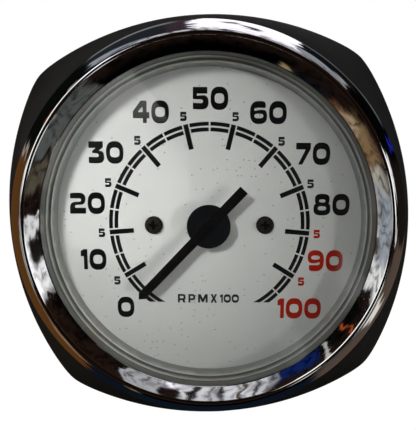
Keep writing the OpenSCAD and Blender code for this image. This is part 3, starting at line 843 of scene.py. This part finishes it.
# Pointer: an arm with a roof-shaped back and a chisel tip, over a thin disc
POINTER_REST = 226
POINTER_TIP = 23.4
POINTER_TAIL = 11.5
POINTER_HALF = 1.15
ARM_LOW = 3.7
ARM_EDGE = 4.62
ARM_RIDGE = 4.95


def slice_off(piece, point, normal):
    """Cuts away what lies on the normal's side of a plane, given in the dial's millimetres."""
    start_edit(piece)
    nx, ny, nz = normal
    bpy.ops.mesh.bisect(plane_co=spot(*point), plane_no=(nx, -nz, ny), use_fill=True, clear_outer=True)
    end_edit()


def pointer():
    length = POINTER_TIP + POINTER_TAIL
    arm = block("pointer", (length, 2 * POINTER_HALF, ARM_RIDGE - ARM_LOW),
                ((POINTER_TIP - POINTER_TAIL) / 2, 0, (ARM_LOW + ARM_RIDGE) / 2))
    rise = ARM_RIDGE - ARM_EDGE
    for s in (-1, 1):
        slice_off(arm, (0, 0, ARM_RIDGE), (0, s * rise, POINTER_HALF))
        slice_off(arm, (POINTER_TIP, 0, 0), (1, s, 0))
        slice_off(arm, (0, s * POINTER_HALF, 0), (0.005, s, 0))
    round_edges(arm, 0.05, 2, 15)
    settle_turn(arm, POINTER_REST)
    section = [(0.05, 3.4), (4.9, 3.4), (5, 3.5), (5, 4.25), (4.93, 4.36), (4.8, 4.4), (0.05, 4.4)]
    disc = turned("disc", section, 128)
    smooth(arm, 20)
    piece = join([disc, arm])
    piece.name = "pointer"
    stand_for(piece, "pointer_black", "pointer", "pointer", angle=20)


def settle_turn(piece, degrees):
    """Turns a piece about the dial's axis, anticlockwise as the rider sees it."""
    turn = math.radians(degrees)
    for vertex in piece.data.vertices:
        x, y = vertex.co.x, vertex.co.z
        vertex.co.x = x * math.cos(turn) - y * math.sin(turn)
        vertex.co.z = x * math.sin(turn) + y * math.cos(turn)


# Rear: cable nipple, studs with washers and nuts, base screws, lamp holder
def cable_nipple():
    thread = [(6.0, -46.9 - 0.125 * i) for i in range(100)]
    section = [(4.5, -40.2), (5.5, -40.2), (5.5, -45), (7.6, -45), (7.8, -45.2), (7.8, -46.3), (7.6, -46.5),
               (6.0, -46.5)]
    section += thread + [(6.0, -59.4), (5.4, -60), (4.9, -60), (4.8, -59.9), (4.8, -53.0), (4.5, -53.0),
                         (4.5, -40.2)]
    piece = turned("cable_nipple", section, 96)
    threaded(piece, 6.0, 0.55, 1.0, -59.4, -46.8)
    stand_for(piece, "zinc_steel", CASE, "cable_nipple", angle=40)


def mounting_studs():
    thread = [(2.45, -55.1 - 0.1 * i) for i in range(65)]
    section = [(0.05, -41.6), (2.5, -41.6), (2.5, -46.5), (4.9, -46.5), (5.0, -46.6), (5.0, -47.9),
               (4.9, -48), (3, -48), (3, -54.9), (2.9, -55), (2.45, -55)]
    section += thread + [(2.45, -61.6), (2.0, -62), (0.05, -62)]
    first = turned("mounting_studs", section, 64, (-STUD_AT, 0))
    threaded(first, 2.45, 0.4, 0.8, -61.6, -55.0, (-STUD_AT, 0))
    piece = join([first, copy_to(first, "right", 2 * STUD_AT, 0)])
    stand_for(piece, "zinc_steel", CASE, "mounting_studs", angle=40)


def stud_washers():
    section = [(2.65, -55.9), (2.75, -56), (5.05, -56), (5.2, -55.85), (5.2, -55.1), (5.1, -55), (2.65, -55),
               (2.65, -55.9)]
    first = turned("stud_washers", section, 96, (-STUD_AT, 0))
    piece = join([first, copy_to(first, "right", 2 * STUD_AT, 0)])
    stand_for(piece, "zinc_steel", CASE, "stud_washers")


def stud_nuts():
    deselect()
    across = 8
    bpy.ops.mesh.primitive_cylinder_add(vertices=6, radius=across / math.sqrt(3) * MM, depth=4 * MM,
                                        location=spot(-STUD_AT, 0, -58), rotation=(math.pi / 2, 0, 0))
    first = bpy.context.object
    first.name = "stud_nuts"
    settle(first)
    section = [(0.05, -56), (4.24, -56), (4.68, -56.5), (4.68, -59.5), (4.24, -60), (0.05, -60)]
    cut(first, turned("lathe", section, 96, (-STUD_AT, 0)), "INTERSECT")
    cut(first, turned("bore", [(2.46, -55), (2.46, -61)], 64, (-STUD_AT, 0)))
    round_edges(first, 0.08, 2, 40)
    piece = join([first, copy_to(first, "right", 2 * STUD_AT, 0)])
    stand_for(piece, "zinc_steel", CASE, "stud_nuts", angle=25)


def base_screws():
    screws = []
    for at in BASE_SCREWS_AT:
        screws.append(cross_screw("base_screws", 2.7, 1.8, -45, (1.2, 3.8), at, up=-1, recess=0.9))
    stand_for(join(screws), "zinc_steel", CASE, "base_screws")


# Lamp's two terminals: thickness and width of a blade, and its distance from the lamp's axis
BLADE = (0.8, 4)
BLADE_AT = 2.2


def lamp_holder():
    section = [(4.3, -40.2), (5.3, -40.2), (5.5, -40.4), (5.5, -45), (6.6, -45), (6.8, -45.2), (6.8, -46.3),
               (6.6, -46.5), (5.1, -46.5), (5.1, -51.6), (4.7, -52), (0.05, -52), (0.05, -50), (4.3, -50),
               (4.3, -40.2)]
    piece = turned("lamp_holder", section, 96, (0, LAMP_AT))
    for a in range(0, 360, 30):
        x, y = at_angle(6.9, math.radians(a))
        cut(piece, turned("grip", [(0.55, -48), (0.55, -44)], 16, (x, LAMP_AT + y)))
    for side in (-1, 1):
        cut(piece, block("slot", BLADE + (4,), (side * BLADE_AT, LAMP_AT, -51)))
    stand_for(piece, "moulded_black", CASE, "lamp_holder")


def lamp_terminals():
    blades = []
    for side in (-1, 1):
        blade = block("lamp_terminals", BLADE + (8,), (side * BLADE_AT, LAMP_AT, -54))
        round_edges(blade, 0.15, 2)
        deselect()
        bpy.ops.mesh.primitive_cylinder_add(vertices=32, radius=0.7 * MM, depth=3 * MM,
                                            location=spot(side * BLADE_AT, LAMP_AT, -56),
                                            rotation=(0, math.pi / 2, 0))
        hole = bpy.context.object
        settle(hole)
        cut(blade, hole)
        blades.append(blade)
    stand_for(join(blades), "brass", CASE, "lamp_terminals")


pod()
bezel()
lens()
inner_ring()
dial_plate()
dial_print()
dial_screws()
pointer()
cable_nipple()
mounting_studs()
stud_washers()
stud_nuts()
base_screws()
lamp_holder()
lamp_terminals()

# CAD nodes that stay take the finish of their slot
for part in frame["record"]["subparts"]:
    for place in frame["nodes"][part["node"]].material_slots:
        place.material = MATERIALS[part["material_slot"]]

# Room. The camera sees a white background, and so do glass and polished metal straight behind the gauge.
# Elsewhere polished metal sees a dim workshop. Each thing in it is given by name, the middle and half width
# of its turn around the dial's axis (anticlockwise from the right), the middle and half height of its tilt
# away from the rider's line of sight, its lean (degrees of tilt for a degree of turn), softness, colour and
# brightness.
WORKSHOP = [
    ("wood panel", 197, 34, 108, 50, 0, 3, "#5e3c1c", 1),
    ("wood edge", 222, 7, 66, 8, 0, 4, "#8a6a50", 1),
    ("navy cloth", 268, 37, 105, 46, 0, 4, "#0f1722", 1),
    ("bench", 325, 24, 108, 50, 0, 5, "#5a4c42", 1),
    ("bench lamp", 327, 3.5, 77, 19, 0, 3, "#e4ddd2", 1.2),
    ("tool board", 0, 11, 90, 50, 0, 4, "#1c1814", 1),
    ("doorway", 28, 13, 90, 40, 0, 3, "#050506", 1),
    ("blue lead", 20, 0.8, 112, 22, 0, 1.5, "#2436c8", 1),
    ("grey wall", 45, 17, 135, 20, 0, 5, "#5f6466", 1),
    ("grey panel", 53, 10, 67, 14, 0, 2, "#9ca0a4", 1),
    ("shelf", 55, 8, 97, 18, 0.8, 3, "#121417", 1),
    ("window", 80.5, 17.5, 98, 52, 0, 1.5, "#fbf7ff", 1.5),
    ("plant", 79, 2.4, 88, 9, 0.6, 3, "#4a484e", 1),
    ("leaf", 84, 3, 104, 6, -0.8, 3, "#77757c", 1),
    ("window frame", 102, 4.5, 92, 52, 0, 2, "#3d3238", 1),
    ("slate wall", 119, 13, 97, 50, 0, 3, "#26292e", 1),
    ("blind", 120, 11, 58, 14, 1.4, 3, "#a0a5a9", 1),
    ("sill", 120, 15, 136, 18, 0, 6, "#7c8284", 1),
    ("black door", 146, 14, 97, 52, 0, 3, "#0a0d0a", 1),
    ("door edge", 163, 1.3, 98, 24, 0, 2, "#9a9a92", 1),
    ("pale door", 10, 7, 50, 12, 0, 2, "#f4f4f2", 1.3),
    ("pale wall", 67, 8, 46, 11, 0, 1.5, "#c0c2c4", 1),
    ("blinds", 99.5, 17, 46, 11, 0, 2, "#e6e6ea", 1.1),
    ("slat", 86, 1.5, 46, 11, 0, 1, "#1d1a1a", 1),
    ("slat", 93, 0.7, 46, 11, 0, 1, "#2d2724", 1),
    ("slat", 98, 1.2, 46, 11, 0, 1, "#1d1a1a", 1),
    ("slat", 106, 0.9, 46, 11, 0, 1, "#5a4a3a", 1),
    ("slat", 112, 0.8, 46, 11, 0, 1, "#1d1a1a", 1),
    ("blue jacket", 129, 8, 49, 6, 0, 2.5, "#122660", 1),
    ("thin pole", 141, 1.2, 48, 11, 0, 1, "#c8c4bc", 1),
    ("orange cable", 152, 0.8, 49, 9, 0, 1, "#b0522a", 1),
    ("white can", 173, 6.5, 50, 9, 0, 2, "#f2f2f0", 1.1),
    ("white post", 186, 1.5, 50, 10, 0, 1, "#f2f2f0", 1),
    ("cream cloth", 197, 9, 56, 8, 0, 4, "#bdb9aa", 1),
    ("tan box", 214, 9, 57, 8, 0.2, 4, "#8a7050", 1),
    ("dark gap", 272, 30, 62, 9, 0, 5, "#010101", 1),
    ("tan post", 245, 2.2, 63, 5, 0, 1.5, "#a08a68", 1),
    ("grey cloth", 314, 14, 52, 11, 0, 3, "#5a5e5b", 1),
    ("sack", 335, 5, 52, 11, 0, 3, "#5c5548", 1),
    ("white stripe", 351.5, 3, 50, 12, 0, 1, "#f0f0ee", 1.1),
    ("strip lamp", 155, 27, 29, 10, 0.27, 2, "#fffdf8", 1.6),
    ("blue shade", 187, 12, 48, 8, 0.2, 4, "#a9b0b8", 1),
    ("shade", 198, 8, 32, 6, 0, 2, "#dededa", 1),
    ("peach box", 221, 4, 59, 4, 0, 2, "#b39a7c", 1),
    ("tin", 293, 4, 30, 8, 0, 1.5, "#e6e6e6", 1),
    ("pale box", 323, 8, 32, 9, -0.5, 2, "#f0f0ee", 1.1),
    ("door light", 3, 13, 32, 9, 0.1, 2, "#ffffff", 1.5),
    ("bright haze", 161, 14, 20, 5, 0, 8, "#8e9298", 0.6),
]


DEGREES = 180 / math.pi

# Tilts in which the bezel's slope looks, and the tilt from which a ray goes straight behind
SLOPE_TILT = 52
SLOPE_TILT_HALF = 12
BEHIND_TILT = 156

# Grey of the light on matt surfaces, and grey that glass sees
EVEN_LIGHT = 0.14
THROUGH_GLASS = 0.03


def nearness(tree, value, middle, half, soft):
    """1 within a half width of a middle, 0 outside, with a soft edge."""
    away = add(tree, "Math", [value, middle], 0, operation="SUBTRACT")
    away = add(tree, "Math", [away], 0, operation="ABSOLUTE")
    edges = {"Value": away, "From Min": half + soft / 2, "From Max": half - soft / 2}
    return add(tree, "MapRange", edges, "Result", interpolation_type="SMOOTHSTEP")


world = bpy.data.worlds.new("room")
bpy.context.scene.world = world
world.use_nodes = True
tree = world.node_tree
tree.nodes.clear()
way = add(tree, "TexCoord", (), "Generated")
ripple = add(tree, "TexNoise", {"Vector": way, "Scale": 6.0, "Detail": 3.0}, "Fac")
parts = add(tree, "SeparateXYZ", [way])
turn = add(tree, "Math", [parts.outputs["Z"], parts.outputs["X"]], 0, operation="ARCTAN2")
turn = add(tree, "Math", [turn, DEGREES], 0, operation="MULTIPLY")
wobble = add(tree, "Math", [ripple, 14, -7], 0, operation="MULTIPLY_ADD")
turn = add(tree, "Math", [turn, wobble], 0, operation="ADD")
forward = add(tree, "Math", [parts.outputs["Y"], -1.0], 0, operation="MULTIPLY")
tilt = add(tree, "Math", [forward], 0, operation="ARCCOSINE")
tilt = add(tree, "Math", [tilt, DEGREES], 0, operation="MULTIPLY")
wobble = add(tree, "Math", [ripple, 10, -5], 0, operation="MULTIPLY_ADD")
tilt = add(tree, "Math", [tilt, wobble], 0, operation="ADD")
share = add(tree, "Math", [tilt, 180], 0, operation="DIVIDE")
walls = [(0.1, shade("#120c09")), (0.17, shade("#2c1e17")), (0.3, shade("#1a1310"))]
seen = add(tree, "ValToRGB", [share], 0, walls)
for _, middle, half, tilt_middle, tilt_half, lean, soft, colour, strength in WORKSHOP:
    across = add(tree, "Math", [turn, middle], 0, operation="SUBTRACT")
    across = add(tree, "Math", [across, 180, -180], 0, operation="WRAP")
    level = add(tree, "Math", [across, -lean, tilt], 0, operation="MULTIPLY_ADD")
    in_turn = nearness(tree, across, 0, half, soft)
    in_tilt = nearness(tree, level, tilt_middle, tilt_half, soft * 2)
    inside = add(tree, "Math", [in_turn, in_tilt], 0, operation="MULTIPLY")
    bright = tuple(strength * value for value in shade(colour)[:3]) + (1,)
    seen = add(tree, "Mix", {0: inside, 6: seen, 7: bright}, 2, data_type="RGBA")

# Streaks darken what the bezel's slope reflects
streak_turn = add(tree, "Math", [turn, 0.4], 0, operation="MULTIPLY")
streak_tilt = add(tree, "Math", [tilt, 0.14], 0, operation="MULTIPLY")
streak = add(tree, "CombineXYZ", [streak_turn, streak_tilt], 0)
streak = add(tree, "TexNoise", {"Vector": streak, "Scale": 1.0, "Detail": 3.0}, "Fac")
streak = add(tree, "ValToRGB", [streak], 0, [(0.35, grey(0.22)), (0.52, grey(0.9)), (0.65, grey(1.0))])
on_slope = nearness(tree, tilt, SLOPE_TILT, SLOPE_TILT_HALF, 8)
off_slope = add(tree, "Math", [1, on_slope], 0, operation="SUBTRACT")
streak = add(tree, "Math", [streak, off_slope], 0, operation="MAXIMUM")

# A ray bent by glass can count as glossy too, so what glass sees is mixed in after what metal sees
even = add(tree, "Background", {"Color": grey(EVEN_LIGHT)}, 0)
glassy = add(tree, "Background", {"Color": grey(THROUGH_GLASS)}, 0)
workshop = add(tree, "Background", {"Color": seen, "Strength": streak}, 0)
white = add(tree, "Background", {"Color": grey(1.0)}, 0)
path = add(tree, "LightPath")
is_camera = path.outputs["Is Camera Ray"]
is_glossy = path.outputs["Is Glossy Ray"]
is_through = path.outputs["Is Transmission Ray"]
room = add(tree, "MixShader", [is_glossy, even, workshop], 0)
room = add(tree, "MixShader", [is_through, room, glassy], 0)
metal_or_glass = add(tree, "Math", [is_glossy, is_through], 0, operation="MAXIMUM")
far_back = add(tree, "Math", [tilt, BEHIND_TILT], 0, operation="GREATER_THAN")
behind = add(tree, "Math", [metal_or_glass, far_back], 0, operation="MULTIPLY")
white_seen = add(tree, "Math", [is_camera, behind], 0, operation="MAXIMUM")
room = add(tree, "MixShader", [white_seen, room, white], 0)
add(tree, "OutputWorld", {"Surface": room})

# Floor: white paper well below the instrument, almost plain white to the camera but keeping the shadow
deselect()
bpy.ops.mesh.primitive_plane_add(size=6, location=(0, 0, -0.22))
floor = bpy.context.object
floor.name = "floor"
material, tree, shader, _ = plain("white paper", Roughness=0.9, Base_Color=shade("#f0f0ee"))
paper = add(tree, "Emission", {"Color": grey(1.0), "Strength": 1.1}, 0)
to_camera = add(tree, "LightPath", (), "Is Camera Ray")
glow = add(tree, "Math", [to_camera, 0.9], 0, operation="MULTIPLY")
blend = add(tree, "MixShader", [glow, shader.outputs[0], paper], 0)
tree.links.new(blend, tree.nodes["Material Output"].inputs["Surface"])
floor.data.materials.append(material)
floor.visible_glossy = False
floor.visible_transmission = False


def lamp(name, place, aim, spread, size, power):
    """Round soft lamp with a pool of light; its spread is the full angle of the pool in degrees."""
    data = bpy.data.lights.new(name, "SPOT")
    data.spot_size = math.radians(spread)
    data.spot_blend = 1.0
    data.shadow_soft_size = size
    data.energy = power
    light = bpy.data.objects.new(name, data)
    light.location = place
    light.rotation_euler = (aim - Vector(place)).to_track_quat("-Z", "Y").to_euler()
    light.visible_camera = False
    light.visible_glossy = False
    light.visible_transmission = False
    bpy.context.scene.collection.objects.link(light)


lamp("key", (-0.12, -0.315, 0.105), spot(-24, 10, 0), 18, 0.03, 4.8)
lamp("from_right", (0.28, -0.36, -0.03), spot(-36, 8, 0), 8, 0.05, 13)
lamp("far_left", (-0.42, -0.40, 0.06), spot(34, 12, 0), 7, 0.06, 8)
lamp("fill", (-0.06, -0.75, 0.30), spot(4, 0, 0), 40, 0.2, 5.5)
lamp("rear", (0.5, 0.6, 0.5), spot(0, 0, -30), 40, 0.1, 4)
bpy.context.scene.view_settings.view_transform = "Standard"
